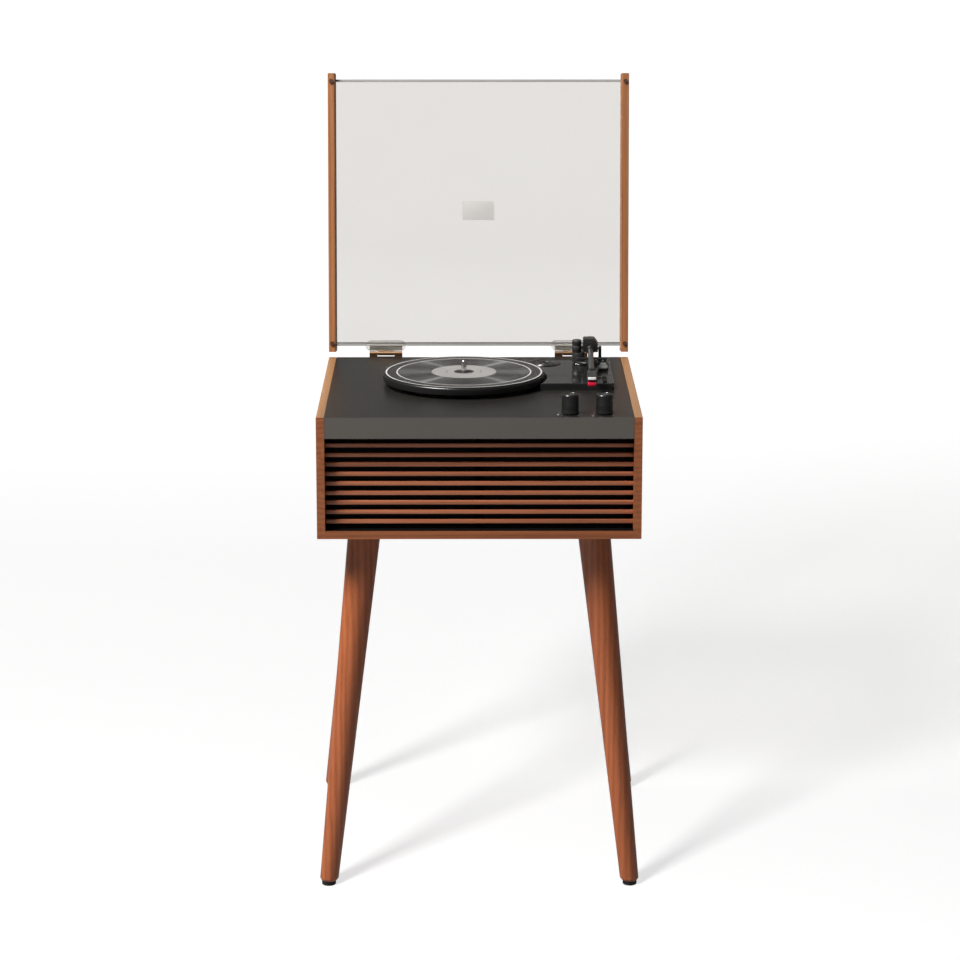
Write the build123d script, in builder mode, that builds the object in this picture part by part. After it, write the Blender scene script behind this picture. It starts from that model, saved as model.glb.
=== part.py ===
from build123d import *
import math
import os

# Record player console: slatted cabinet on four splayed legs, raised arm
# board, belt-driven platter and an open clear lid between wooden rails.
# Millimetres, +Z up, front towards -Y, origin on the floor below the middle
# of the overall box.

# ---------------------------------------------------------------- dimensions
W, D = 420.0, 400.0            # cabinet width and depth
YF = -246.26                   # cabinet front plane
YR = YF + D                    # cabinet rear plane
ZT = 634.0                     # deck top
ZB = 473.0                     # cabinet underside
T = 10.5                       # side and bottom panel thickness
TR = 9.0                       # rear panel thickness
XI = W / 2 - T                 # inner half width
DECK_T = 3.0                   # deck sheet
FASCIA = 28.0                  # height of the folded front of the deck
SLATS, SLAT_H, SLAT_D, SLAT_PITCH, SLAT_TOP, SLAT_IN = 9, 5.2, 7.0, 12.64, 39.7, 13.0

LEG_X, LEG_IN = 150.0, 50.0    # leg top centre
LEG_R, FOOT_R = 21.5, 12.3
FOOT_XF, FOOT_XR = 200.0, 210.0

RAIL_T, RAIL_H, RAIL_L = 9.8, 50.0, 388.5
LID_GAP = 2.0                  # closed rail above the deck
HINGE_Y, HINGE_Z = YR + 2.0, ZT + 5.0
LID_OPEN = 98.0                # degrees, closed to open
COVER_T = 3.0
HINGE_X, LEAF_W = 130.0, 46.0

PX, PD = -20.2, 216.0          # platter centre, distance from the front
PLATTER_R = 108.7
SPINDLE_R = 3.6
PULLEY_X, PULLEY_D = PX - 55.2, PD - 73.6
RING_R, PUL_R = 79.0, 6.0      # belt seats

BOARD_H = 9.5                  # raised arm board
AX, AD = 153.6, 309.4          # arm pivot
AZ = ZT + 30.0                 # arm tilt axis
AD45_X, AD45_D, AD45_R = 91.0, 306.0, 21.3
KNOB_D, KNOB_R, KNOB_H = 22.6, 11.4, 26.4
KNOBS = (117.4, 161.4)
ARM_REST = -1.5                # parked arm, turned towards the platter


def Y(dist):
    return YF + dist


def block(x0, x1, y0, y1, z0, z1, mode=Mode.ADD):
    with Locations(((x0 + x1) / 2, (y0 + y1) / 2, (z0 + z1) / 2)):
        return Box(x1 - x0, y1 - y0, z1 - z0, mode=mode)


def rod_z(x, y, z0, z1, r, mode=Mode.ADD):
    with Locations((x, y, (z0 + z1) / 2)):
        return Cylinder(r, z1 - z0, mode=mode)


def rod_x(x0, x1, y, z, r, mode=Mode.ADD):
    with Locations(Location(((x0 + x1) / 2, y, z), (0, 90, 0))):
        return Cylinder(r, x1 - x0, mode=mode)


def rod_y(x, y0, y1, z, r, mode=Mode.ADD):
    with Locations(Location((x, (y0 + y1) / 2, z), (-90, 0, 0))):
        return Cylinder(r, y1 - y0, mode=mode)


def cone_y(x, y0, y1, z, r0, r1, mode=Mode.ADD):
    with Locations(Location((x, (y0 + y1) / 2, z), (-90, 0, 0))):
        return Cone(r0, r1, y1 - y0, mode=mode)


os.makedirs("parts", exist_ok=True)


def save(shape, label):
    shape.label = label
    export_step(shape, "parts/" + label + ".step")


# ------------------------------------------------------------------- cabinet
for side, label in ((-1, "left_side_panel"), (1, "right_side_panel")):
    xa, xb = sorted((side * XI, side * W / 2))
    with BuildPart() as side_panel:
        block(xa, xb, YF, YR, ZB, ZT)
        fillet(side_panel.edges().filter_by(Axis.Y).sort_by(Axis.X)[-2 if side > 0 else 0:][:2], 1.0)
    save(side_panel.part, label)

with BuildPart() as bottom_panel:
    block(-XI, XI, YF, YR, ZB, ZB + T)
    for lx in (-LEG_X, LEG_X):          # pockets for the leg plates
        for ly in (Y(LEG_IN), YR - LEG_IN):
            block(lx - 30, lx + 30, ly - 30, ly + 30, ZB, ZB + 2.5, mode=Mode.SUBTRACT)
save(bottom_panel.part, "bottom_panel")

with BuildPart() as rear_panel:
    block(-XI, XI, YR - TR, YR, ZB + T, ZT - DECK_T)
    block(45, 145, YR - TR, YR, 537, 573, mode=Mode.SUBTRACT)
save(rear_panel.part, "rear_panel")

# deck: one folded sheet, flat top and fascia, with its cut-outs
DX = XI - 0.3
DZ = ZT - DECK_T
with BuildPart() as deck_plate:
    with BuildSketch(Plane.YZ) as deck_section:
        with BuildLine():
            Polyline((YF, ZT - FASCIA), (YF, ZT), (YR - 0.6, ZT), (YR - 0.6, DZ),
                     (YF + DECK_T, DZ), (YF + DECK_T, ZT - FASCIA), close=True)
        make_face()
        fillet(deck_section.vertices().group_by(Axis.Y)[0].sort_by(Axis.Z)[-1], 2.4)
    extrude(amount=DX, both=True)
    rod_z(PX, Y(PD), DZ, ZT, 9.2, mode=Mode.SUBTRACT)
    rod_z(PULLEY_X, Y(PULLEY_D), DZ, ZT, 9.0, mode=Mode.SUBTRACT)
    rod_z(AX, Y(AD), DZ, ZT, 10.2, mode=Mode.SUBTRACT)
    for kx in KNOBS:
        rod_z(kx, Y(KNOB_D), DZ, ZT, 3.6, mode=Mode.SUBTRACT)
    rod_z(172.8, Y(286), DZ, ZT, 2.6, mode=Mode.SUBTRACT)
    block(166.6, 170.6, Y(195), Y(213), DZ, ZT, mode=Mode.SUBTRACT)
    block(166.6, 170.6, Y(179), Y(191), DZ, ZT, mode=Mode.SUBTRACT)
save(deck_plate.part, "deck_plate")

with BuildPart() as deck_cleats:
    for s in (-1, 1):
        x0, x1 = sorted((s * XI, s * (XI - 12)))
        block(x0, x1, Y(44), Y(380), DZ - 12, DZ)
save(deck_cleats.part, "deck_cleats")

# grille: slats on three stiles, cloth and baffle behind
with BuildPart() as grille_slats:
    for i in range(SLATS):
        zc = ZT - SLAT_TOP - i * SLAT_PITCH
        block(-XI, XI, Y(SLAT_IN), Y(SLAT_IN + SLAT_D), zc - SLAT_H / 2, zc + SLAT_H / 2)
save(grille_slats.part, "grille_slats")

GB = SLAT_IN + SLAT_D
with BuildPart() as grille_stiles:
    for gx in (-XI + 5, 0, XI - 5):
        block(gx - 5, gx + 5, Y(GB), Y(GB + 4), ZB + T, ZT - 30)
save(grille_stiles.part, "grille_stiles")

with BuildPart() as speaker_cloth:
    block(-XI, XI, Y(GB + 4), Y(GB + 4.8), ZB + T, ZT - 30)
save(speaker_cloth.part, "speaker_cloth")

SB = GB + 4.8                      # baffle front
SZ, SX = ZT - 90, 112.0            # speaker centres
with BuildPart() as speaker_baffle:
    block(-XI, XI, Y(SB), Y(SB + 9), ZB + T, ZT - 30)
    for s in (-SX, SX):
        rod_y(s, Y(SB), Y(SB + 9), SZ, 40, mode=Mode.SUBTRACT)
save(speaker_baffle.part, "speaker_baffle")

SR = SB + 9                        # baffle rear
with BuildPart() as speaker_frames:
    for s in (-SX, SX):
        rod_y(s, Y(SR), Y(SR + 2.5), SZ, 46)
        cone_y(s, Y(SR + 2.5), Y(SR + 24), SZ, 42, 24)
        rod_y(s, Y(SR + 24), Y(SR + 40), SZ, 27)
        rod_y(s, Y(SR + 40), Y(SR + 43), SZ, 22)
        rod_y(s, Y(SR), Y(SR + 2.5), SZ, 39.5, mode=Mode.SUBTRACT)
        cone_y(s, Y(SR + 2.5), Y(SR + 22.5), SZ, 39.5, 22, mode=Mode.SUBTRACT)
save(speaker_frames.part, "speaker_frames")

with BuildPart() as speaker_cones:
    for s in (-SX, SX):
        cone_y(s, Y(SR + 1), Y(SR + 19), SZ, 38.6, 12)
        cone_y(s, Y(SR + 1), Y(SR + 18), SZ, 37.4, 11, mode=Mode.SUBTRACT)
        rod_y(s, Y(SR + 19), Y(SR + 22.4), SZ, 12.5)
save(speaker_cones.part, "speaker_cones")

# legs: plates let into the underside, tapered legs, pads
with BuildPart() as leg_plates:
    for lx in (-LEG_X, LEG_X):
        for ly in (Y(LEG_IN), YR - LEG_IN):
            block(lx - 29.8, lx + 29.8, ly - 29.8, ly + 29.8, ZB, ZB + 2.5)
save(leg_plates.part, "leg_plates")

LEGS = {"leg_front_left": (-LEG_X, Y(LEG_IN), -FOOT_XF, Y(1)),
        "leg_front_right": (LEG_X, Y(LEG_IN), FOOT_XF, Y(1)),
        "leg_rear_left": (-LEG_X, YR - LEG_IN, -FOOT_XR, YR - 1),
        "leg_rear_right": (LEG_X, YR - LEG_IN, FOOT_XR, YR - 1)}


def leg_at(leg, z):
    k = z / ZB
    return (leg[2] + (leg[0] - leg[2]) * k, leg[3] + (leg[1] - leg[3]) * k)


for label, leg in LEGS.items():
    with BuildPart() as leg_part:
        with BuildSketch(Plane.XY.offset(ZB)):
            with Locations(leg_at(leg, ZB)):
                Circle(LEG_R)
        with BuildSketch(Plane.XY.offset(9)):
            with Locations(leg_at(leg, 9)):
                Circle(FOOT_R)
        loft()
        with BuildSketch(Plane.XY.offset(9)):
            with Locations(leg_at(leg, 9)):
                Circle(FOOT_R)
        with BuildSketch(Plane.XY.offset(6)):
            with Locations(leg_at(leg, 6)):
                Circle(FOOT_R - 2.2)
        loft()
    save(leg_part.part, label)

with BuildPart() as foot_pads:
    for leg in LEGS.values():
        fx, fy = leg_at(leg, 3)
        rod_z(fx, fy, 0, 6, 9.3)
    chamfer(foot_pads.faces().sort_by(Axis.Z)[:4].edges(), 0.8)
save(foot_pads.part, "foot_pads")

# ------------------------------------------------------ controls and wiring
PCB_Z = DZ - 10.0
with BuildPart() as amplifier_board:
    block(92, 185, Y(8), Y(78), PCB_Z - 1.6, PCB_Z)
    block(100, 150, Y(62), Y(70), PCB_Z - 22, PCB_Z - 1.6)
    for cx, cy, r, h in ((160, 60, 5, 14), (173, 60, 5, 14), (110, 50, 4, 9), (165, 46, 3, 8)):
        rod_z(cx, Y(cy), PCB_Z - 1.6 - h, PCB_Z - 1.6, r)
save(amplifier_board.part, "amplifier_board")

for label, kx in (("volume_control", KNOBS[1]), ("function_switch", KNOBS[0])):
    with BuildPart() as control:
        rod_z(kx, Y(KNOB_D), DZ - 10, DZ, 8.5)
        rod_z(kx, Y(KNOB_D), DZ, ZT, 3.5)
        rod_z(kx, Y(KNOB_D), ZT, ZT + 0.4, 3.5)
        rod_z(kx, Y(KNOB_D), DZ - 8, ZT + 0.4, 3.05, mode=Mode.SUBTRACT)
    save(control.part, label)

JX = 95.0
JZ = 555.0
with BuildPart() as rear_jack_plate:
    block(JX - 65, JX + 65, YR, YR + 2, JZ - 27, JZ + 27)
    for jx in (-40, -18):
        rod_y(JX + jx, YR, YR + 2, JZ, 4.2, mode=Mode.SUBTRACT)
    rod_y(JX + 8, YR, YR + 2, JZ, 3.6, mode=Mode.SUBTRACT)
    rod_y(JX + 38, YR, YR + 2, JZ, 5.5, mode=Mode.SUBTRACT)
save(rear_jack_plate.part, "rear_jack_plate")

with BuildPart() as rear_sockets:
    for jx in (-40, -18):                       # phono pair
        rod_y(JX + jx, YR - 12, YR + 10, JZ, 4.2)
        rod_y(JX + jx, YR + 2, YR + 3.6, JZ, 6.2)
        rod_y(JX + jx, YR - 2, YR + 10, JZ, 1.7, mode=Mode.SUBTRACT)
    rod_y(JX + 8, YR - 12, YR + 4.5, JZ, 3.6)   # small round jack
    rod_y(JX + 8, YR + 2, YR + 4.5, JZ, 5.2)
    rod_y(JX + 8, YR - 9, YR + 4.5, JZ, 1.8, mode=Mode.SUBTRACT)
    rod_y(JX + 38, YR - 12, YR + 3.2, JZ, 5.5)  # power inlet
    rod_y(JX + 38, YR - 8, YR + 3.2, JZ, 3.6, mode=Mode.SUBTRACT)
    rod_y(JX + 38, YR - 9, YR + 2.6, JZ, 1.0)
save(rear_sockets.part, "rear_sockets")

# ------------------------------------------------------------- arm board
with BuildPart() as tonearm_board:
    with BuildSketch(Plane.XY.offset(ZT)) as board_plan:
        with BuildLine():
            Polyline((30, Y(170)), (181, Y(170)), (181, Y(330)), (64, Y(330)), (64, Y(250)),
                     (30, Y(250)), close=True)
        make_face()
        fillet([v for v in board_plan.vertices() if v.X > 175 or (v.Y > Y(320))], 5)
        with Locations((PX, Y(PD))):
            Circle(112.0, mode=Mode.SUBTRACT)
    extrude(amount=BOARD_H)
    fillet(tonearm_board.faces().sort_by(Axis.Z)[-1].edges(), 1.2)
    rod_z(AX, Y(AD), ZT, ZT + BOARD_H, 10.2, mode=Mode.SUBTRACT)
    rod_z(AD45_X, Y(AD45_D), ZT + 6, ZT + BOARD_H, AD45_R + 0.5, mode=Mode.SUBTRACT)
    rod_z(172.8, Y(286), ZT + BOARD_H, ZT + 16.5, 2.9)
    rod_z(172.8, Y(286), ZT, ZT + 16.5, 1.55, mode=Mode.SUBTRACT)
    block(166.6, 170.6, Y(195), Y(213), ZT, ZT + BOARD_H, mode=Mode.SUBTRACT)
    block(166.6, 170.6, Y(179), Y(191), ZT, ZT + BOARD_H, mode=Mode.SUBTRACT)
    block(84.2, 181, Y(220.6), Y(222.0), ZT + 9.0, ZT + BOARD_H, mode=Mode.SUBTRACT)
save(tonearm_board.part, "tonearm_board")

# --------------------------------------------------------- platter and drive
with BuildPart() as spindle_bearing:
    rod_z(PX, Y(PD), ZT - 30, ZT + 4, 9.0)
    rod_z(PX, Y(PD), DZ - 3, DZ, 17.0)
    rod_z(PX, Y(PD), ZT - 27, ZT + 4, 3.45, mode=Mode.SUBTRACT)
save(spindle_bearing.part, "spindle_bearing")

with BuildPart() as platter:
    rod_z(PX, Y(PD), ZT + 5.7, ZT + 15.4, PLATTER_R)
    fillet(platter.faces().sort_by(Axis.Z)[-1].edges(), 2.0)
    rod_z(PX, Y(PD), ZT + 5.7, ZT + 12.4, PLATTER_R - 3, mode=Mode.SUBTRACT)
    rod_z(PX, Y(PD), ZT + 6.2, ZT + 12.4, RING_R)
    rod_z(PX, Y(PD), ZT + 6.2, ZT + 12.4, RING_R - 3, mode=Mode.SUBTRACT)
    rod_z(PX, Y(PD), ZT + 4.3, ZT + 12.4, 12.0)
    rod_z(PX, Y(PD), ZT + 4.3, ZT + 15.4, 3.4, mode=Mode.SUBTRACT)
save(platter.part, "platter")

with BuildPart() as slipmat:
    rod_z(PX, Y(PD), ZT + 15.4, ZT + 16.5, PLATTER_R - 2.2)
    rod_z(PX, Y(PD), ZT + 15.4, ZT + 16.5, 3.4, mode=Mode.SUBTRACT)
save(slipmat.part, "slipmat")

with BuildPart() as spindle:
    rod_z(PX, Y(PD), ZT - 26.5, ZT + 16.5, 3.4)
    rod_z(PX, Y(PD), ZT + 16.5, ZT + 32.5, SPINDLE_R)
    fillet(spindle.faces().sort_by(Axis.Z)[-1].edges(), 3.0)
save(spindle.part, "spindle")

with BuildPart() as motor:
    rod_z(PULLEY_X, Y(PULLEY_D), DZ - 28, DZ - 2, 17.0)
    block(PULLEY_X - 27, PULLEY_X + 27, Y(PULLEY_D) - 12, Y(PULLEY_D) + 12, DZ - 2, DZ)
    rod_z(PULLEY_X, Y(PULLEY_D), DZ, ZT + 3, 4.5)
    rod_z(PULLEY_X, Y(PULLEY_D), DZ - 24, ZT + 3, 1.55, mode=Mode.SUBTRACT)
save(motor.part, "motor")

with BuildPart() as motor_pulley:
    rod_z(PULLEY_X, Y(PULLEY_D), DZ - 23, ZT + 6.2, 1.5)
    rod_z(PULLEY_X, Y(PULLEY_D), ZT + 6.2, ZT + 12, PUL_R)
    rod_z(PULLEY_X, Y(PULLEY_D), ZT + 6.2, ZT + 7.2, PUL_R + 1.2)
save(motor_pulley.part, "motor_pulley")

# belt: round the ring under the platter and the pulley
BELT_A = math.atan2(PULLEY_D - PD, PULLEY_X - PX)
BELT_L = math.hypot(PULLEY_D - PD, PULLEY_X - PX)
BELT_F = math.acos((RING_R - PUL_R) / BELT_L)


def belt_points(extra):
    pts = []
    for s in (1, -1):
        a = BELT_A + s * BELT_F
        row = [(PX + (RING_R + extra) * math.cos(a), Y(PD) + (RING_R + extra) * math.sin(a)),
               (PULLEY_X + (PUL_R + extra) * math.cos(a), Y(PULLEY_D) + (PUL_R + extra) * math.sin(a))]
        pts += row if s == 1 else row[::-1]
    return pts


with BuildPart() as drive_belt:
    with BuildSketch(Plane.XY.offset(ZT + 7.5)):
        for extra, mode in ((0.9, Mode.ADD), (0.1, Mode.SUBTRACT)):
            with BuildLine():
                Polyline(*belt_points(extra), close=True)
            make_face(mode=mode)
            with Locations((PX, Y(PD))):
                Circle(RING_R + extra, mode=mode)
            with Locations((PULLEY_X, Y(PULLEY_D))):
                Circle(PUL_R + extra, mode=mode)
    extrude(amount=4)
save(drive_belt.part, "drive_belt")

# --------------------------------------------------------------- tone arm
with BuildPart() as tonearm_base:
    rod_z(AX, Y(AD), ZT + BOARD_H, ZT + 11.1, 23.5)
    rod_z(AX, Y(AD), ZT - 24, ZT + BOARD_H, 10.0)
    rod_z(AX, Y(AD), ZT - 24, ZT + 11.1, 5.05, mode=Mode.SUBTRACT)
save(tonearm_base.part, "tonearm_base")

with BuildPart() as arm_rest:
    block(148.7, 154.7, Y(224.5), Y(229.5), ZT + BOARD_H, ZT + 22)
    block(145.7, 159.1, Y(224.5), Y(229.5), ZT + 22, ZT + 25.4)
    block(156.3, 159.1, Y(224.5), Y(229.5), ZT + 25.4, ZT + 31)
    fillet(arm_rest.edges().filter_by(Axis.Y).sort_by(Axis.Z)[-2:], 1.0)
save(arm_rest.part, "arm_rest")

DRUM_X, CAP_X = 137.2, 134.8
arm_axis = Axis((AX, Y(AD), 0), (0, 0, 1))


def parked(shape):
    return shape.rotate(arm_axis, ARM_REST)


with BuildPart() as arm_yoke:
    rod_z(AX, Y(AD), ZT - 22, ZT + 11.4, 5.0)
    rod_z(AX, Y(AD), ZT + 11.4, ZT + 13.6, 21.0)
    rod_z(DRUM_X, Y(AD), ZT + 11.4, ZT + 24.7, 8.9)
    block(141.5, 143.0, Y(AD) - 5, Y(AD) + 5, ZT + 24, ZT + 33)
    block(164.6, 168.7, Y(AD) - 5.5, Y(AD) + 5.5, ZT + 12, ZT + 33)
    rod_x(140, 170, Y(AD), AZ, 1.55, mode=Mode.SUBTRACT)
save(parked(arm_yoke.part), "arm_yoke")

with BuildPart() as antiskate_dial:
    rod_z(CAP_X, Y(AD), ZT + 25.0, ZT + 42.0, 6.5)
    chamfer(antiskate_dial.faces().sort_by(Axis.Z)[-1].edges(), 0.8)
save(parked(antiskate_dial.part), "antiskate_dial")

TUBE_R = 4.0
with BuildPart() as arm_block:
    with BuildSketch(Plane.XZ.offset(-Y(AD - 10.4))) as block_front:
        with BuildLine():
            Polyline((143.3, ZT + 26.5), (163.9, ZT + 26.5), (163.9, ZT + 36.5), (158.6, ZT + 44.5),
                     (144.2, ZT + 44.5), (143.3, ZT + 43.0), close=True)
        make_face()
    extrude(amount=-22)
    rod_y(AX, Y(AD - 12), Y(AD + 14), AZ, TUBE_R, mode=Mode.SUBTRACT)
    rod_x(141.7, 144.5, Y(AD), AZ, 1.5)
    rod_x(163.0, 168.5, Y(AD), AZ, 1.5)
save(parked(arm_block.part), "arm_block")

with BuildPart() as arm_tube:
    rod_y(AX, Y(152), Y(348), AZ, TUBE_R)
save(parked(arm_tube.part), "arm_tube")

with BuildPart() as headshell:
    block(147.2, 160.0, Y(102), Y(152), ZT + 27, ZT + 32.6)
    fillet(headshell.edges().filter_by(Axis.Y).sort_by(Axis.Z)[-2:], 1.6)
    block(160.0, 168.5, Y(108), Y(112), ZT + 30.2, ZT + 31.6)
save(parked(headshell.part), "headshell")

with BuildPart() as cartridge:
    block(148.6, 158.6, Y(106), Y(127), ZT + 19.6, ZT + 27)
save(parked(cartridge.part), "cartridge")

with BuildPart() as stylus:
    with BuildSketch(Plane.YZ.offset(148.2)) as stylus_side:
        with BuildLine():
            Polyline((Y(102.6), ZT + 20.2), (Y(104.6), ZT + 18.4), (Y(120), ZT + 18.4), (Y(122), ZT + 19.6),
                     (Y(106), ZT + 19.6), (Y(106), ZT + 26.2), (Y(102.6), ZT + 24.6), close=True)
        make_face()
    extrude(amount=10.8)
    rod_z(AX, Y(104.6), ZT + 17.5, ZT + 19, 0.5)
save(parked(stylus.part), "stylus")

with BuildPart() as counterweight:
    rod_y(AX, Y(AD + 14.6), Y(AD + 36), AZ, 10.4)
    rod_y(AX, Y(AD + 14.6), Y(AD + 36), AZ, TUBE_R + 0.05, mode=Mode.SUBTRACT)
    chamfer(counterweight.edges().group_by(Axis.Y)[-1].sort_by(SortBy.LENGTH)[-1], 1.0)
save(parked(counterweight.part), "counterweight")

# cueing: plunger with its platform, and the lever in front of it
with BuildPart() as lift_platform:
    rod_z(172.8, Y(286), ZT - 4, ZT + 19.5, 1.5)
    block(134.0, 175.6, Y(283.4), Y(288.6), ZT + 19, ZT + 21.5)
save(lift_platform.part, "lift_platform")

with BuildPart() as cue_lever:
    block(159.5, 175.8, Y(252), Y(276), ZT + 12.2, ZT + 14.4)
    fillet(cue_lever.edges().filter_by(Axis.Z), 2.0)
    rod_x(166, 174, Y(279), ZT + 13.3, 2.6)
    block(166, 174, Y(275), Y(279), ZT + 12.2, ZT + 14.4)
    rod_x(166, 174, Y(279), ZT + 13.3, 1.05, mode=Mode.SUBTRACT)
save(cue_lever.part, "cue_lever")

with BuildPart() as cue_bracket:
    for x0, x1 in ((162.8, 165.7), (174.3, 177.2)):
        block(x0, x1, Y(276.6), Y(281.4), ZT + BOARD_H, ZT + 15.6)
    rod_x(163.0, 177.0, Y(279), ZT + 13.3, 1.0)
save(cue_bracket.part, "cue_bracket")

with BuildPart() as speed_selector:
    block(167.0, 170.2, Y(196), Y(202), ZT - 2, ZT + 9.8)
    block(165.6, 171.6, Y(195.5), Y(202.5), ZT + 9.8, ZT + 13.6)
    fillet(speed_selector.edges().filter_by(Axis.Y).sort_by(Axis.Z)[-2:], 0.8)
save(speed_selector.part, "speed_selector")

with BuildPart() as autostop_switch:
    block(167.0, 170.2, Y(180), Y(184.5), ZT - 2, ZT + 9.8)
    block(165.6, 171.6, Y(179.4), Y(185.1), ZT + 9.8, ZT + 12.6)
save(autostop_switch.part, "autostop_switch")

with BuildPart() as adapter_45:
    rod_z(AD45_X, Y(AD45_D), ZT + 6.3, ZT + 10.9, AD45_R)
    chamfer(adapter_45.faces().sort_by(Axis.Z)[-1].edges(), 0.8)
    rod_z(AD45_X, Y(AD45_D), ZT + 6.3, ZT + 10.9, 3.7, mode=Mode.SUBTRACT)
save(adapter_45.part, "adapter_45")

for label, kx in (("volume_knob", KNOBS[1]), ("function_knob", KNOBS[0])):
    with BuildPart() as knob:
        rod_z(kx, Y(KNOB_D), ZT + 0.7, ZT + KNOB_H, KNOB_R)
        chamfer(knob.faces().sort_by(Axis.Z)[-1].edges(), 1.0)
        rod_z(kx, Y(KNOB_D), DZ - 7.6, ZT + 0.7, 3.0)
    save(knob.part, label)

# ------------------------------------------------------------------ hinges
HK = 3.0                                        # knuckle radius
with BuildPart() as hinge_cabinet_leaves:
    for hx in (-HINGE_X, HINGE_X):
        block(hx - LEAF_W / 2, hx + LEAF_W / 2, YR, YR + 1.2, ZT - 20, ZT + 0.8)
        for a, b in ((-23, -12), (12, 23)):
            block(hx + a, hx + b, YR, YR + 1.2, ZT + 0.8, HINGE_Z)
            rod_x(hx + a, hx + b, HINGE_Y, HINGE_Z, HK)
        rod_x(hx - 24, hx + 24, HINGE_Y, HINGE_Z, 1.5, mode=Mode.SUBTRACT)
save(hinge_cabinet_leaves.part, "hinge_cabinet_leaves")

with BuildPart() as hinge_pins:
    for hx in (-HINGE_X, HINGE_X):
        rod_x(hx - 23, hx + 23, HINGE_Y, HINGE_Z, 1.5)
save(hinge_pins.part, "hinge_pins")

with BuildPart() as cabinet_screws:
    for hx in (-HINGE_X, HINGE_X):
        for a in (-16, 16):
            rod_y(hx + a, YR + 1.2, YR + 2.4, ZT - 12, 3.0)
    for jx in (-60, 60):
        for jz in (-22, 22):
            rod_y(JX + jx, YR + 2, YR + 3.4, JZ + jz, 2.6)
    for a in (90, 210, 330):
        rod_z(PX + 13.4 * math.cos(math.radians(a)), Y(PD) + 13.4 * math.sin(math.radians(a)),
              DZ - 4.6, DZ - 3, 2.4)
    for s in (-22.5, 22.5):
        rod_z(PULLEY_X + s, Y(PULLEY_D), DZ - 3.8, DZ - 2, 2.6)
    for lx in (-LEG_X, LEG_X):
        for ly in (Y(LEG_IN), YR - LEG_IN):
            for a in (-25, 25):
                for b in (-25, 25):
                    rod_z(lx + a, ly + b, ZB - 1.4, ZB, 3.2)
save(cabinet_screws.part, "cabinet_screws")

# --------------------------------------------------------------------- lid
# modelled closed, then turned back about the hinge axis
hinge_axis = Axis((0, HINGE_Y, HINGE_Z), (1, 0, 0))


def opened(shape):
    return shape.rotate(hinge_axis, -LID_OPEN)


RY1 = YR
RY0 = RY1 - RAIL_L
RZ0 = ZT + LID_GAP
RZ1 = RZ0 + RAIL_H
for side, label in ((-1, "lid_left_rail"), (1, "lid_right_rail")):
    xa, xb = sorted((side * (W / 2 - RAIL_T), side * W / 2))
    with BuildPart() as rail:
        block(xa, xb, RY0, RY1, RZ0, RZ1)
        fillet(rail.edges().filter_by(Axis.Y), 0.9)
    save(opened(rail.part), label)

WALL_Y, LIP_Y = YR - 8.4, RY0 + 8.0
CX = W / 2 - RAIL_T
with BuildPart() as lid_cover:
    with BuildSketch(Plane.YZ) as cover_section:
        with BuildLine():
            Polyline((WALL_Y, ZT + 5), (WALL_Y, RZ1), (LIP_Y, RZ1), (LIP_Y, RZ1 - 22),
                     (LIP_Y + COVER_T, RZ1 - 22), (LIP_Y + COVER_T, RZ1 - COVER_T),
                     (WALL_Y - COVER_T, RZ1 - COVER_T), (WALL_Y - COVER_T, ZT + 5), close=True)
        make_face()
        fillet([v for v in cover_section.vertices() if v.Z > RZ1 - 0.1], 4.0)
        fillet([v for v in cover_section.vertices() if abs(v.Z - RZ1 + COVER_T) < 0.1], 1.0)
    extrude(amount=CX, both=True)
save(opened(lid_cover.part), "lid_cover")

with BuildPart() as lid_bumpers:
    for bx in (-(W / 2 - RAIL_T / 2), W / 2 - RAIL_T / 2):
        for by in (RY0 + 11, RY1 - 12):
            rod_z(bx, by, ZT + 0.3, RZ0, 3.0)
save(opened(lid_bumpers.part), "lid_bumpers")

with BuildPart() as hinge_lid_leaves:
    for hx in (-HINGE_X, HINGE_X):
        rod_x(hx - 11.7, hx + 11.7, HINGE_Y, HINGE_Z, HK)
        block(hx - 11.7, hx + 11.7, YR - 7.0, HINGE_Y, ZT + 6.8, ZT + 8.0)
        block(hx - LEAF_W / 2, hx + LEAF_W / 2, WALL_Y, YR - 1.6, ZT + 6.8, ZT + 8.0)
        block(hx - LEAF_W / 2, hx + LEAF_W / 2, WALL_Y, WALL_Y + 1.2, ZT + 6.8, ZT + 24)
        rod_x(hx - 12, hx + 12, HINGE_Y, HINGE_Z, 1.55, mode=Mode.SUBTRACT)
save(opened(hinge_lid_leaves.part), "hinge_lid_leaves")

with BuildPart() as hinge_blocks:
    for hx in (-HINGE_X, HINGE_X):
        with BuildSketch(Plane.XY.offset(ZT + 3)):
            with Locations((hx, YR - 8.4)):
                SlotOverall(56, 13.4)
        extrude(amount=17)
        block(hx - 30, hx + 30, WALL_Y - COVER_T, WALL_Y, ZT + 5, ZT + 21, mode=Mode.SUBTRACT)
        block(hx - 23, hx + 23, WALL_Y, WALL_Y + 1.2, ZT + 6.8, ZT + 21, mode=Mode.SUBTRACT)
        block(hx - 23, hx + 23, WALL_Y, YR, ZT + 6.8, ZT + 8.0, mode=Mode.SUBTRACT)
save(opened(hinge_blocks.part), "hinge_blocks")

with BuildPart() as hinge_lid_screws:
    for hx in (-HINGE_X, HINGE_X):
        for a in (-14, 14):
            rod_y(hx + a, WALL_Y + 1.2, WALL_Y + 2.2, ZT + 22, 1.8)
save(opened(hinge_lid_screws.part), "hinge_lid_screws")

print("belt wrap angle", round(math.degrees(BELT_F), 2))
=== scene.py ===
import math

import bpy
import bmesh
from mathutils import Matrix, Vector


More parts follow.
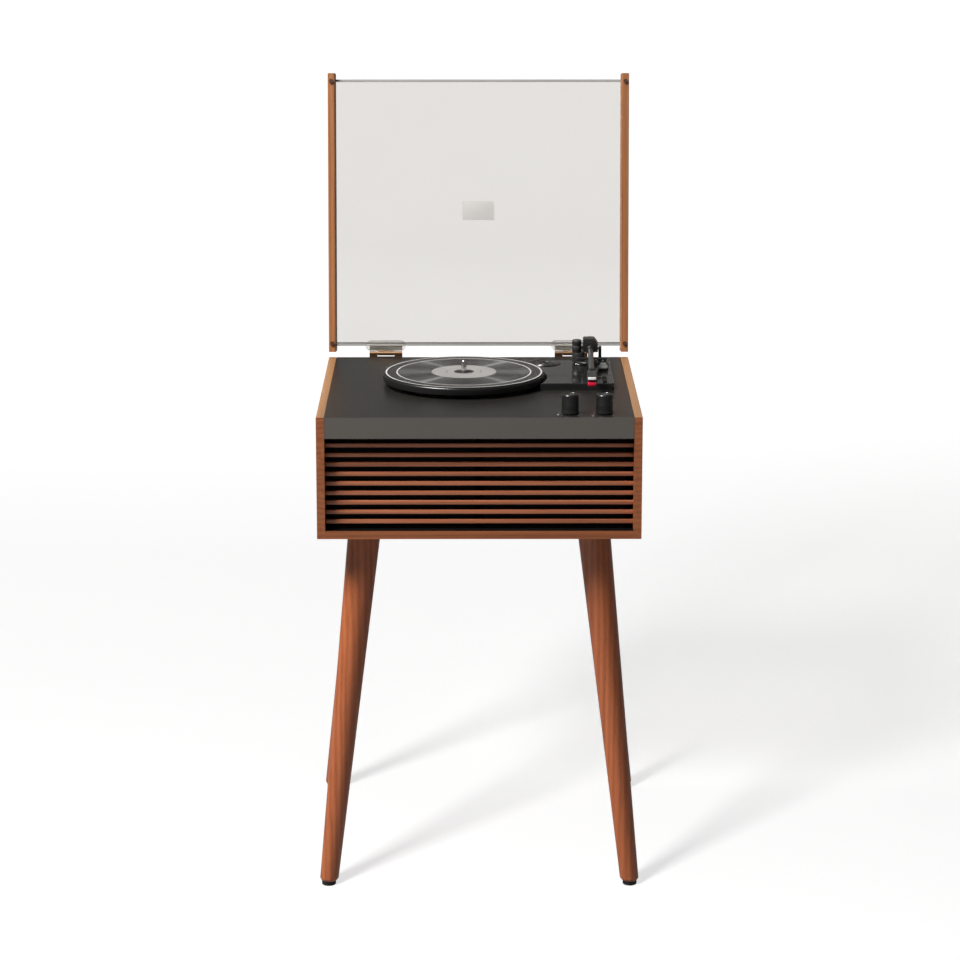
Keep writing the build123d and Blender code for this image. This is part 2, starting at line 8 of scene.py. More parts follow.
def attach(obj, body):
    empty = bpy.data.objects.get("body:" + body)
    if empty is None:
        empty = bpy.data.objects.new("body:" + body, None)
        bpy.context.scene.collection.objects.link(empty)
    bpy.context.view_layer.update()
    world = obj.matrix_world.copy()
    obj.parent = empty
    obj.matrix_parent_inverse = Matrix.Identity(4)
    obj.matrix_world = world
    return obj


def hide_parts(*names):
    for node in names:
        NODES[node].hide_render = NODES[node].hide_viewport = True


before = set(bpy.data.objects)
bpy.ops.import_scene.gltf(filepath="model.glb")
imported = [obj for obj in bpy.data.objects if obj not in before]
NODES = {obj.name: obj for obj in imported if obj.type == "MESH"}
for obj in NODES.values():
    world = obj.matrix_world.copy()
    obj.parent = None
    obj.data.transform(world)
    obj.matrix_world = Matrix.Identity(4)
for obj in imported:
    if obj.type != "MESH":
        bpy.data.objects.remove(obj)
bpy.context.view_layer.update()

# ------------------------------------------------------------ shared sizes, mm
YF = -246.26
YR = YF + 400.0
ZT = 634.0
PX, PD = -20.2, 216.0
AX, AD = 153.6, 309.4
AZ = ZT + 30.0
HY, HZ = YR + 2.0, ZT + 5.0
KNOB_D = 22.6
REST = math.radians(-1.5)     # parked arm, turned towards the platter


def Y(d):
    return YF + d


# ---------------------------------------------------------------- camera
cam = bpy.data.cameras.new("camera")
cam.lens = 120.0
cam.sensor_width = 36.0
cam.clip_end = 60.0
cam_ob = bpy.data.objects.new("camera", cam)
bpy.context.collection.objects.link(cam_ob)
cam_ob.location = (-0.011, (YF - 4012.0) / 1000, 1.507)
cam_ob.rotation_euler = (math.radians(90 - 13.394), 0.0, math.radians(-0.17))
bpy.context.scene.camera = cam_ob


# ---------------------------------------------------------------- mesh tools
def obj_from(name, verts, faces, mat, body, smooth=40.0, mm=True):
    me = bpy.data.meshes.new(name)
    k = 0.001 if mm else 1.0
    me.from_pydata([(v[0] * k, v[1] * k, v[2] * k) for v in verts], [], faces)
    me.validate()
    bm = bmesh.new()
    bm.from_mesh(me)
    bmesh.ops.recalc_face_normals(bm, faces=bm.faces)
    bm.to_mesh(me)
    bm.free()
    return finish_obj(name, me, mat, body, smooth)


def finish_obj(name, me, mat, body, smooth=40.0):
    for p in me.polygons:
        p.use_smooth = smooth > 0
    if smooth > 0:
        me.set_sharp_from_angle(angle=math.radians(smooth))
    ob = bpy.data.objects.new(name, me)
    bpy.context.collection.objects.link(ob)
    me.materials.append(mat)
    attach(ob, body)
    return ob


def bm_obj(name, bm, mat, body, smooth=40.0, mm=True):
    if mm:
        bmesh.ops.scale(bm, vec=(0.001, 0.001, 0.001), verts=bm.verts)
    bmesh.ops.recalc_face_normals(bm, faces=bm.faces)
    if body in ("arm_yoke", "antiskate_dial", "tonearm", "counterweight"):
        bmesh.ops.rotate(bm, cent=(AX / 1000, Y(AD) / 1000, 0), matrix=Matrix.Rotation(REST, 3, "Z"), verts=bm.verts)
    me = bpy.data.meshes.new(name)
    bm.to_mesh(me)
    bm.free()
    return finish_obj(name, me, mat, body, smooth)


def add_box(bm, x0, x1, y0, y1, z0, z1, bevel=0.0, seg=2, rot=None, about=None):
    r = bmesh.ops.create_cube(bm, size=1.0)
    vs = r["verts"]
    bmesh.ops.scale(bm, vec=(x1 - x0, y1 - y0, z1 - z0), verts=vs)
    bmesh.ops.translate(bm, vec=((x0 + x1) / 2, (y0 + y1) / 2, (z0 + z1) / 2), verts=vs)
    if rot is not None:
        bmesh.ops.rotate(bm, cent=about, matrix=rot, verts=vs)
    if bevel > 0:
        es = list({e for v in vs for e in v.link_edges})
        bmesh.ops.bevel(bm, geom=es, offset=bevel, segments=seg, profile=0.6, affect="EDGES", clamp_overlap=True)


def add_lathe(bm, profile, centre, axis="Z", seg=72, closed=True, mod=None):
    """profile: (r, h) pairs; h runs along the axis from the centre."""
    rings = []
    for r, h in profile:
        ring = []
        n = 1 if r < 1e-6 else seg
        for i in range(n):
            a = 2 * math.pi * i / seg
            rr = r if mod is None else r + mod(a, r, h)
            u, v = rr * math.cos(a), rr * math.sin(a)
            if axis == "Z":
                p = (centre[0] + u, centre[1] + v, centre[2] + h)
            elif axis == "Y":
                p = (centre[0] + u, centre[1] + h, centre[2] + v)
            else:
                p = (centre[0] + h, centre[1] + u, centre[2] + v)
            ring.append(bm.verts.new(p))
        rings.append(ring)
    pairs = list(zip(rings, rings[1:]))
    if closed:
        pairs.append((rings[-1], rings[0]))
    for a, b in pairs:
        if len(a) == 1 and len(b) == 1:
            continue
        for i in range(seg):
            j = (i + 1) % seg
            if len(a) == 1:
                bm.faces.new((a[0], b[j], b[i]))
            elif len(b) == 1:
                bm.faces.new((a[i], a[j], b[0]))
            else:
                bm.faces.new((a[i], a[j], b[j], b[i]))


def lathe(name, profile, centre, mat, body, axis="Z", seg=72, closed=False, smooth=35.0, mod=None):
    bm = bmesh.new()
    add_lathe(bm, profile, centre, axis, seg, closed, mod)
    return bm_obj(name, bm, mat, body, smooth)


def prism(bm, pts, axis, a, b, bevel=0.0):
    """polygon pts in the plane across axis, drawn from a to b."""
    def at(p, h):
        if axis == "X":
            return (h, p[0], p[1])
        if axis == "Y":
            return (p[0], h, p[1])
        return (p[0], p[1], h)
    lo = [bm.verts.new(at(p, a)) for p in pts]
    hi = [bm.verts.new(at(p, b)) for p in pts]
    bm.faces.new(lo)
    bm.faces.new(hi[::-1])
    n = len(pts)
    for i in range(n):
        j = (i + 1) % n
        bm.faces.new((lo[i], hi[i], hi[j], lo[j]))
    if bevel > 0:
        es = list({e for v in lo + hi for e in v.link_edges})
        bmesh.ops.bevel(bm, geom=es, offset=bevel, segments=2, profile=0.6, affect="EDGES", clamp_overlap=True)


# ---------------------------------------------------------------- materials
class Mat:
    def __init__(self, name, rough=0.5, spec=0.5, **sockets):
        self.m = bpy.data.materials.new(name)
        self.m.use_nodes = True
        self.nt = self.m.node_tree
        self.n = self.nt.nodes
        self.l = self.nt.links
        self.b = self.n["Principled BSDF"]
        self.b.inputs["Roughness"].default_value = rough
        self.b.inputs["Specular IOR Level"].default_value = spec
        for k, v in sockets.items():
            self.b.inputs[k.replace("_", " ")].default_value = v
        self.tc = self.n.new("ShaderNodeTexCoord")
        self.co = self.tc.outputs["Object"]

    def link(self, a, b):
        self.l.new(a, b)
        return b

    def mapping(self, scale=(1, 1, 1), rot=(0, 0, 0), loc=(0, 0, 0), src=None):
        m = self.n.new("ShaderNodeMapping")
        m.inputs["Scale"].default_value = scale
        m.inputs["Rotation"].default_value = rot
        m.inputs["Location"].default_value = loc
        self.link(src or self.co, m.inputs["Vector"])
        return m.outputs["Vector"]

    def noise(self, vec, scale=1.0, detail=4.0, rough=0.5, dist=0.0):
        t = self.n.new("ShaderNodeTexNoise")
        t.inputs["Scale"].default_value = scale
        t.inputs["Detail"].default_value = detail
        t.inputs["Roughness"].default_value = rough
        t.inputs["Distortion"].default_value = dist
        self.link(vec, t.inputs["Vector"])
        return t.outputs["Fac"]

    def ramp(self, fac, stops):
        r = self.n.new("ShaderNodeValToRGB")
        e = r.color_ramp.elements
        while len(e) < len(stops):
            e.new(0.5)
        for i, (p, c) in enumerate(stops):
            e[i].position = p
            e[i].color = (*c, 1.0) if len(c) == 3 else c
        self.link(fac, r.inputs["Fac"])
        return r.outputs["Color"]

    def math(self, op, a, b=None, c=None, clamp=False):
        m = self.n.new("ShaderNodeMath")
        m.operation = op
        m.use_clamp = clamp
        for i, v in enumerate((a, b, c)):
            if v is None:
                continue
            if isinstance(v, (int, float)):
                m.inputs[i].default_value = v
            else:
                self.link(v, m.inputs[i])
        return m.outputs[0]

    def mix(self, fac, a, b, mode="MIX"):
        m = self.n.new("ShaderNodeMix")
        m.data_type = "RGBA"
        m.blend_type = mode
        for i, v in ((0, fac), (6, a), (7, b)):
            if isinstance(v, (int, float)):
                m.inputs[i].default_value = v
            elif isinstance(v, tuple):
                m.inputs[i].default_value = (*v, 1.0) if len(v) == 3 else v
            else:
                self.link(v, m.inputs[i])
        return m.outputs[2]

    def maprange(self, v, a0, a1, b0, b1):
        m = self.n.new("ShaderNodeMapRange")
        self.link(v, m.inputs[0])
        for i, x in enumerate((a0, a1, b0, b1)):
            m.inputs[i + 1].default_value = x
        return m.outputs[0]

    def bump(self, height, strength=0.2, dist=0.0002, normal=None):
        b = self.n.new("ShaderNodeBump")
        b.inputs["Strength"].default_value = strength
        b.inputs["Distance"].default_value = dist
        self.link(height, b.inputs["Height"])
        if normal is not None:
            self.link(normal, b.inputs["Normal"])
        return b.outputs["Normal"]

    def out(self, colour=None, rough=None, normal=None, metallic=None):
        if colour is not None:
            if isinstance(colour, tuple):
                self.b.inputs["Base Color"].default_value = (*colour, 1.0)
            else:
                self.link(colour, self.b.inputs["Base Color"])
        if rough is not None:
            self.link(rough, self.b.inputs["Roughness"])
        if normal is not None:
            self.link(normal, self.b.inputs["Normal"])
        return self.m


def wood(name, dark, mid, light, axis, rough=0.42, tilt=0.0, seed=0.0, contrast=1.0, coat=0.25, figure=1.0, top=None):
    """straight-grained veneer: broad figure, fibres and fine dark pores along one axis"""
    w = Mat(name, rough=rough, spec=0.45, Coat_Weight=coat, Coat_Roughness=0.28)
    src = w.co
    if tilt:
        src = w.mapping(rot=(math.radians(tilt), 0, 0))
    k = {"X": 0, "Y": 1, "Z": 2}[axis]

    def stretched(across, along):
        s = [across] * 3
        s[k] = along
        return w.mapping(scale=tuple(s), src=src, loc=(seed, seed * 1.7, seed * 2.3))
    warp = w.noise(stretched(9, 1.6), 1.0, 3, 0.5)
    # broad bands of figure, slightly wandering
    fig = w.noise(stretched(70, 2.2), 1.0, 5, 0.55, 0.6)
    rings = w.n.new("ShaderNodeTexWave")
    rings.wave_type = "BANDS"
    rings.bands_direction = {"X": "Z", "Y": "Z", "Z": "X"}[axis]
    rings.inputs["Scale"].default_value = 1.0
    rings.inputs["Distortion"].default_value = 7.0
    rings.inputs["Detail"].default_value = 3.0
    rings.inputs["Detail Scale"].default_value = 0.9
    w.link(stretched(42, 1.3), rings.inputs["Vector"])
    fibre = w.noise(stretched(620, 9), 1.0, 3, 0.6)
    fine = w.noise(stretched(2100, 26), 1.0, 2, 0.5)
    a = w.math("MULTIPLY_ADD", fig, 0.55 * figure, w.math("MULTIPLY", rings.outputs["Fac"], 0.22 * figure))
    a = w.math("ADD", a, w.math("MULTIPLY", fibre, 0.30))
    a = w.math("ADD", a, w.math("MULTIPLY", warp, 0.20))
    a = w.maprange(a, 0.50 - 0.16 / contrast, 0.70 + 0.14 / contrast, 0.0, 1.0)
    col = w.ramp(a, [(0.0, dark), (0.45, mid), (1.0, light)])
    pores = w.ramp(fine, [(0.30, (0.45, 0.40, 0.36)), (0.42, (1, 1, 1))])
    col = w.mix(0.55, col, pores, "MULTIPLY")
    if top:
        # painted light: faces that point up get a paler, pinker tint, standing in for the brighter light and reflected
        # background they catch from above
        geo = w.n.new("ShaderNodeNewGeometry")
        sn = w.n.new("ShaderNodeSeparateXYZ")
        w.link(geo.outputs["Normal"], sn.inputs[0])
        col = w.mix(w.maprange(sn.outputs[2], 0.6, 0.95, 0.0, 1.0), col, top, "MULTIPLY")
    rgh = w.maprange(fibre, 0.3, 0.7, rough - 0.06, rough + 0.08)
    h = w.math("ADD", w.math("MULTIPLY", fine, 0.6), w.math("MULTIPLY", fibre, 0.4))
    return w.out(col, rgh, w.bump(h, 0.16, 0.00012))


def plastic(name, colour, rough, grain=1400.0, amount=0.12, vary=0.15, spec=0.5, coat=0.0):
    p = Mat(name, rough=rough, spec=spec, Coat_Weight=coat, Coat_Roughness=0.08)
    g = p.noise(p.mapping((grain,) * 3), 1.0, 2, 0.5)
    broad = p.noise(p.mapping((14,) * 3), 1.0, 3, 0.5)
    lo = tuple(c * (1 - vary) for c in colour)
    hi = tuple(min(1.0, c * (1 + vary)) for c in colour)
    col = p.ramp(p.math("ADD", p.math("MULTIPLY", g, 0.4), p.math("MULTIPLY", broad, 0.6)), [(0.3, lo), (0.7, hi)])
    rgh = p.maprange(broad, 0.3, 0.7, max(0.02, rough - 0.04), min(1.0, rough + 0.05))
    return p.out(col, rgh, p.bump(g, amount, 0.0001))


def metal(name, colour, rough, axis="X", brush=2200.0, amount=0.1):
    p = Mat(name, rough=rough, Metallic=1.0)
    s = [brush] * 3
    s[{"X": 0, "Y": 1, "Z": 2}[axis]] = 18.0
    g = p.noise(p.mapping(tuple(s)), 1.0, 3, 0.55)
    broad = p.noise(p.mapping((25,) * 3), 1.0, 2, 0.5)
    col = p.ramp(g, [(0.25, tuple(c * 0.86 for c in colour)), (0.75, tuple(min(1, c * 1.06) for c in colour))])
    rgh = p.maprange(p.math("ADD", p.math("MULTIPLY", g, 0.6), p.math("MULTIPLY", broad, 0.4)), 0.3, 0.7,
                     max(0.02, rough - 0.05), rough + 0.08)
    return p.out(col, rgh, p.bump(g, amount, 0.00005))


WALNUT = ((0.165, 0.044, 0.012), (0.265, 0.076, 0.021), (0.345, 0.108, 0.033))
RAILC = ((0.170, 0.060, 0.021), (0.265, 0.102, 0.037), (0.345, 0.142, 0.055))
LEGCOL = ((0.205, 0.048, 0.014), (0.315, 0.082, 0.024), (0.410, 0.116, 0.038))
SLATC = ((0.240, 0.073, 0.032), (0.410, 0.134, 0.060), (0.540, 0.190, 0.090))

M = {}
# the top tint on the side panels is painted light: up-facing faces are paler and pinker
M["side"] = wood("walnut_sides", *WALNUT, axis="Y", seed=0.3, top=(0.90, 1.55, 2.35))
M["bottom"] = wood("walnut_bottom", *WALNUT, axis="X", seed=2.1)
M["rear"] = wood("walnut_rear", *WALNUT, axis="X", seed=4.4)
M["slat"] = wood("walnut_slats", *SLATC, axis="X", seed=1.2, rough=0.46, figure=0.8)
M["leg"] = wood("walnut_legs", *LEGCOL, axis="Z", seed=5.7, rough=0.38, coat=0.35)
M["rail"] = wood("walnut_rails", *RAILC, axis="Z", tilt=8.0, seed=3.3)
M["board_raw"] = wood("fibreboard", (0.10, 0.06, 0.04), (0.16, 0.10, 0.06), (0.22, 0.14, 0.09), axis="X", rough=0.8, coat=0.0)


def deck_material():
    p = Mat("deck_black", rough=0.30, spec=0.45)
    g = p.noise(p.mapping((2600,) * 3), 1.0, 3, 0.6)
    g2 = p.noise(p.mapping((900,) * 3), 1.0, 2, 0.5)
    broad = p.noise(p.mapping((6,) * 3), 1.0, 4, 0.55)
    col = p.ramp(p.math("ADD", p.math("MULTIPLY", g, 0.35), p.math("MULTIPLY", broad, 0.65)),
                 [(0.30, (0.0085, 0.0078, 0.0071)), (0.70, (0.0130, 0.0119, 0.0108))])
    # painted light: faces that point forward (the folded front) get a far paler colour than the top, standing in for
    # the front light they catch
    geo = p.n.new("ShaderNodeNewGeometry")
    sn = p.n.new("ShaderNodeSeparateXYZ")
    p.link(geo.outputs["Normal"], sn.inputs[0])
    col = p.mix(p.maprange(sn.outputs[2], 0.3, 0.8, 1.0, 0.0), col, (0.100, 0.0905, 0.0820))
    rgh = p.maprange(p.math("ADD", p.math("MULTIPLY", broad, 0.5), p.math("MULTIPLY", g2, 0.5)), 0.3, 0.7, 0.27, 0.35)
    h = p.math("ADD", p.math("MULTIPLY", g, 0.6), p.math("MULTIPLY", g2, 0.4))
    return p.out(col, rgh, p.bump(h, 0.22, 0.00012))


M["deck"] = deck_material()
M["gloss"] = plastic("gloss_black", (0.012, 0.012, 0.012), 0.13, grain=500, amount=0.02, vary=0.2, coat=0.5)
M["matt"] = plastic("matt_black", (0.020, 0.020, 0.0205), 0.42, amount=0.16)
M["satin"] = plastic("satin_black", (0.017, 0.017, 0.017), 0.30, amount=0.08)
M["knob"] = plastic("knob_black", (0.008, 0.008, 0.008), 0.26, amount=0.04, coat=0.08)
M["dark"] = plastic("dark_steel", (0.020, 0.020, 0.021), 0.45, amount=0.08)
# near-black, fully rough and without specular: real black paint on the baffle, painted shade on the grille stiles and
# the recess floor sheet
M["black_and_shade"] = plastic("black_paint_and_recess_shade", (0.003, 0.003, 0.003), 1.0, amount=0.1, spec=0.0)
# grey for the lid's edge strips: painted shade standing in for the dark lines that refraction draws in the acrylic
M["edge"] = plastic("acrylic_edge", (0.30, 0.295, 0.285), 0.25, amount=0.03, vary=0.1)
M["grey"] = plastic("dark_grey_plastic", (0.085, 0.088, 0.084), 0.40, amount=0.12)
M["red"] = plastic("red_plastic", (0.62, 0.012, 0.055), 0.22, grain=600, amount=0.03, coat=0.4)
M["rubber"] = plastic("rubber_black", (0.014, 0.013, 0.012), 0.72, amount=0.3)
M["bumper"] = plastic("bumper_brown", (0.050, 0.018, 0.010), 0.55, amount=0.2)
M["white"] = plastic("white_print", (0.86, 0.86, 0.85), 0.40, amount=0.05, vary=0.03)
M["pointer"] = plastic("pointer_grey", (0.10, 0.10, 0.098), 0.5, amount=0.05, vary=0.05)
M["print"] = plastic("grey_print", (0.55, 0.55, 0.54), 0.45, amount=0.05, vary=0.05)
M["pcb"] = plastic("solder_mask", (0.03, 0.16, 0.06), 0.35, amount=0.1)
M["cone"] = plastic("cone_paper", (0.035, 0.034, 0.033), 0.85, grain=500, amount=0.5)
M["steel"] = metal("brushed_steel", (0.60, 0.59, 0.57), 0.34)
M["hinge"] = metal("warm_nickel", (0.80, 0.755, 0.66), 0.30)
M["bronze"] = metal("hinge_barrel", (0.36, 0.21, 0.12), 0.36)
M["chrome"] = metal("chrome", (0.72, 0.72, 0.73), 0.16, axis="Z", amount=0.04)
M["tube"] = metal("arm_tube_metal", (0.20, 0.20, 0.205), 0.34, axis="Y", amount=0.05)
M["rim"] = plastic("platter_black", (0.007, 0.007, 0.007), 0.26, amount=0.05)


def cloth_material():
    p = Mat("cloth_black", rough=0.9, spec=0.3, Sheen_Weight=0.15)
    v = p.mapping((1500, 1, 1500))
    ch = p.n.new("ShaderNodeTexChecker")
    ch.inputs["Scale"].default_value = 1.0
    p.link(v, ch.inputs["Vector"])
    n = p.noise(p.mapping((400,) * 3), 1.0, 2, 0.5)
    col = p.ramp(n, [(0.3, (0.006, 0.005, 0.0045)), (0.7, (0.014, 0.012, 0.011))])
    return p.out(col, None, p.bump(ch.outputs["Fac"], 0.4, 0.0002))


M["cloth"] = cloth_material()


def acrylic_material():
    p = Mat("clear_acrylic", rough=0.0, spec=0.5, Transmission_Weight=1.0, IOR=1.49)
    smudge = p.noise(p.mapping((10,) * 3), 1.0, 5, 0.6)
    rgh = p.maprange(smudge, 0.45, 0.8, 0.0, 0.035)
    col = p.ramp(smudge, [(0.3, (0.770, 0.752, 0.724)), (0.7, (0.782, 0.764, 0.736))])
    p.out(col, rgh)
    # lamps shine through
    lp = p.n.new("ShaderNodeLightPath")
    tr = p.n.new("ShaderNodeBsdfTransparent")
    tr.inputs["Color"].default_value = (0.86, 0.85, 0.83, 1.0)
    mx = p.n.new("ShaderNodeMixShader")
    p.link(lp.outputs["Is Shadow Ray"], mx.inputs[0])
    p.link(p.b.outputs[0], mx.inputs[1])
    p.link(tr.outputs[0], mx.inputs[2])
    outn = [n for n in p.n if n.bl_idname == "ShaderNodeOutputMaterial"][0]
    p.link(mx.outputs[0], outn.inputs["Surface"])
    return p.m


M["acrylic"] = acrylic_material()


def frost_material():
    p = Mat("frosted_patch", rough=0.5, spec=0.4, Transmission_Weight=0.75, IOR=1.49)
    g = p.noise(p.mapping((3000,) * 3), 1.0, 2, 0.5)
    col = p.ramp(g, [(0.3, (0.74, 0.73, 0.72)), (0.7, (0.78, 0.77, 0.76))])
    rgh = p.maprange(g, 0.3, 0.7, 0.42, 0.62)
    return p.out(col, rgh, p.bump(g, 0.1, 0.00005))


M["frost"] = frost_material()


def mat_material():
    """printed mat: two pale rings, a silver centre disc and a soft record-like sheen"""
    p = Mat("printed_mat", rough=0.62, spec=0.35)
    v = p.mapping(loc=(-PX / 1000, -Y(PD) / 1000, 0))
    s = p.n.new("ShaderNodeSeparateXYZ")
    p.link(v, s.inputs[0])
    x, y = s.outputs[0], s.outputs[1]
    r = p.math("SQRT", p.math("ADD", p.math("MULTIPLY", x, x), p.math("MULTIPLY", y, y)))
    ang = p.math("ARCTAN2", y, x)
    rmm = p.math("MULTIPLY", r, 1000.0)

    def band(r0, half, soft=0.25):
        d = p.math("ABSOLUTE", p.math("SUBTRACT", rmm, r0))
        return p.maprange(d, half, half + soft, 1.0, 0.0)

    def inside(r0, soft=0.3):
        return p.maprange(rmm, r0 - soft, r0 + soft, 1.0, 0.0)
    # groove lines
    gro_in = p.n.new("ShaderNodeCombineXYZ")
    p.link(rmm, gro_in.inputs[0])
    groove = p.noise(gro_in.outputs[0], 2.2, 3, 0.6)

    def streak(deg, sharp):
        c = p.math("COSINE", p.math("SUBTRACT", ang, math.radians(deg)))
        return p.math("POWER", p.math("ABSOLUTE", c), sharp)
    sheen = p.math("MAXIMUM", p.math("MULTIPLY", streak(51.0, 240.0), 0.8), p.math("MULTIPLY", streak(-51.0, 240.0), 0.6))
    sheen = p.math("MAXIMUM", sheen, p.math("MULTIPLY", streak(0.0, 26.0), 0.30))
    sheen = p.math("MAXIMUM", sheen, p.math("MULTIPLY", streak(51.0, 14.0), 0.22))
    sheen = p.math("MAXIMUM", sheen, p.math("MULTIPLY", streak(-51.0, 14.0), 0.18))
    sheen = p.math("MULTIPLY", sheen, p.maprange(groove, 0.3, 0.7, 0.75, 1.15))
    zone = p.math("MULTIPLY", inside(88.5), p.math("SUBTRACT", 1.0, inside(44.0)))
    sheen = p.math("MULTIPLY", sheen, zone)
    base = p.ramp(groove, [(0.3, (0.009, 0.009, 0.009)), (0.7, (0.018, 0.0175, 0.017))])
    col = p.mix(p.math("MULTIPLY", sheen, 1.0, None, True), base, (0.15, 0.15, 0.147))
    dark = p.mix(band(97.5, 6.3, 0.3), col, (0.020, 0.020, 0.020))
    col = p.mix(p.math("MAXIMUM", band(104.4, 0.75), band(90.0, 0.65)), dark, (0.40, 0.395, 0.385))
    fleck = p.noise(p.mapping((2400,) * 3), 1.0, 2, 0.5)
    silver = p.ramp(fleck, [(0.3, (0.150, 0.148, 0.144)), (0.7, (0.205, 0.202, 0.197))])
    col = p.mix(inside(43.6), col, silver)
    # two short arcs on the centre disc, left and right
    arcs = p.math("MULTIPLY", band(23.4, 0.55, 0.3), p.math("GREATER_THAN", p.math("ABSOLUTE", p.math("COSINE", ang)), 0.93))
    col = p.mix(arcs, col, (0.09, 0.09, 0.09))
    col = p.mix(inside(13.4), col, (0.010, 0.010, 0.010))
    felt = p.noise(p.mapping((1300,) * 3), 1.0, 3, 0.6)
    rgh = p.maprange(groove, 0.3, 0.7, 0.5, 0.66)
    h = p.math("ADD", p.math("MULTIPLY", felt, 0.5), p.math("MULTIPLY", groove, 0.5))
    return p.out(col, rgh, p.bump(h, 0.12, 0.0001))


M["mat"] = mat_material()


def assign(mat, *names):
    for n in names:
        ob = NODES[n]
        if not ob.material_slots:
            ob.data.materials.append(M[mat])
        for s in ob.material_slots:
            s.material = M[mat]


assign("side", "left_side_panel", "right_side_panel")
assign("bottom", "bottom_panel")
assign("rear", "rear_panel")
assign("board_raw", "deck_cleats")
# painted shade: the grille stiles are made near-black so they vanish into the shade between the slats
assign("black_and_shade", "speaker_baffle", "grille_stiles")
assign("dark", "spindle_bearing", "motor", "motor_pulley")
assign("deck", "deck_plate")
assign("leg", "leg_front_left", "leg_front_right", "leg_rear_left", "leg_rear_right")
assign("rail", "lid_left_rail", "lid_right_rail")
assign("gloss", "tonearm_board")
assign("matt", "cartridge", "lift_platform", "cue_bracket", "speed_selector", "autostop_switch", "rear_jack_plate",
       "tonearm_base", "arm_rest", "arm_yoke", "headshell", "counterweight", "volume_knob", "function_knob",
       "antiskate_dial", "arm_block")
assign("grey", "cue_lever")
assign("acrylic", "lid_cover", "hinge_blocks")
assign("mat", "slipmat")
assign("rim", "platter")
assign("steel", "speaker_frames", "leg_plates", "cabinet_screws",
       "rear_sockets", "volume_control", "function_switch")
assign("chrome", "spindle")
assign("hinge", "hinge_lid_leaves", "hinge_lid_screws")
assign("bronze", "hinge_cabinet_leaves", "hinge_pins")
assign("tube", "arm_tube")
assign("red", "stylus")
assign("rubber", "foot_pads", "drive_belt")
assign("bumper", "lid_bumpers")
assign("pcb", "amplifier_board")
assign("cone", "speaker_cones")
assign("cloth", "speaker_cloth")
assign("gloss", "adapter_45")

# ---------------------------------------------------------------- grille slats
bm = bmesh.new()
for i in range(9):
    zc = ZT - 39.7 - i * 12.64
    add_box(bm, -199.5, 199.5, Y(13), Y(20), zc - 2.6, zc + 2.6, bevel=0.7)
ob = bm_obj("grille_slats_rounded", bm, M["slat"], "cabinet")
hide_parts("grille_slats")

# painted shade: a thin black sheet on the floor of the recess darkens the strip seen under the lowest slat, standing in
# for the shade there
bm = bmesh.new()
add_box(bm, -199.4, 199.4, Y(1.2), Y(19.8), 483.5, 483.9)
ob = bm_obj("recess_shade_sheet", bm, M["black_and_shade"], "cabinet", smooth=0)

# ---------------------------------------------------------------- knobs


def knob(name, x, node, body):
    def flutes(a, r, h):
        if r > 9.0 and 5.0 < h < 24.5:
            return -0.22 * (0.5 + 0.5 * math.cos(48 * a)) ** 2
        return 0.0
    prof = [(0, 0.7), (10.8, 0.7), (11.4, 1.2), (11.4, 4.2), (11.1, 4.8), (11.0, 5.4), (10.95, 14.0), (10.85, 23.6),
            (10.6, 24.8), (10.0, 25.8), (9.1, 26.4), (8.3, 26.4), (7.9, 25.9), (0, 25.75)]
    ob = lathe(name, prof, (x, Y(KNOB_D), ZT), M["knob"], body, seg=192, mod=flutes, smooth=50)
    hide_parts(node)
    bm = bmesh.new()
    add_box(bm, x - 0.45, x + 0.45, Y(KNOB_D) - 9.3, Y(KNOB_D) - 2.0, ZT + 25.7, ZT + 26.4, bevel=0.12)
    ob = bm_obj(name + "_pointer", bm, M["pointer"], body)


knob("volume_knob_fluted", 161.4, "volume_knob", "volume_knob")
knob("function_knob_fluted", 117.4, "function_knob", "function_knob")

# ---------------------------------------------------------------- printed marks
bm = bmesh.new()


def tick(x, d, w, l, ang=0.0):
    add_box(bm, x - w / 2, x + w / 2, Y(d) - l / 2, Y(d) + l / 2, ZT - 0.02, ZT + 0.05, rot=Matrix.Rotation(ang, 3, "Z"),
            about=(x, Y(d), ZT))


for kx in (117.4, 161.4):
    for k in range(9):
        a = math.radians(225 - 33.75 * k)
        rr = 15.2
        tick(kx + rr * math.cos(a), KNOB_D + rr * math.sin(a), 0.4, 1.3, a - math.pi / 2)
for px_, pd in ((101.0, 16.5), (146.5, 10.5)):
    add_lathe(bm, [(0, -0.02), (1.0, -0.02), (1.0, 0.06), (0, 0.06)], (px_, Y(pd), ZT), seg=20, closed=False)
ob = bm_obj("deck_marks", bm, M["print"], "cabinet")

# ---------------------------------------------------------------- platter
plat = [(3.5, 4.3), (12, 4.3), (12, 12.2), (76, 12.2), (76, 6.2), (79, 6.2), (79, 12.2), (105.5, 12.2), (105.7, 5.9),
        (106.2, 5.7), (107.9, 5.7), (108.5, 6.2), (108.7, 7.0), (108.7, 12.6), (108.5, 13.9), (107.9, 14.9), (106.9, 15.4),
        (3.5, 15.4)]
ob = lathe("platter_turned", plat, (PX, Y(PD), ZT), M["rim"], "platter", seg=160, closed=True)
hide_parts("platter")
ob = lathe("spindle_turned", [(0, -26.5), (3.4, -26.5), (3.4, 16.5), (3.6, 16.6), (3.6, 17.4), (3.6, 28.6), (3.45, 30.0), (3.0, 31.2),
           (2.2, 32.1), (1.2, 32.5), (0, 32.5)], (PX, Y(PD), ZT), M["chrome"], "platter", seg=48)
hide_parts("spindle")

# adapter: stepped ring with raised concentric rings on top
def ribs(a, r, h):
    return 0.0


ad = [(3.7, 6.3), (20.6, 6.3), (21.3, 6.9), (21.3, 9.9), (20.7, 10.6), (19.4, 10.6), (18.8, 10.1), (15.4, 10.1), (15.0, 10.7),
      (9.2, 10.9), (8.8, 10.2), (6.0, 10.2), (5.6, 10.9), (4.0, 10.9), (3.7, 10.6)]
ob = lathe("adapter_turned", ad, (91.0, Y(306), ZT), M["knob"], "adapter_45", seg=96, closed=True)
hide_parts("adapter_45")

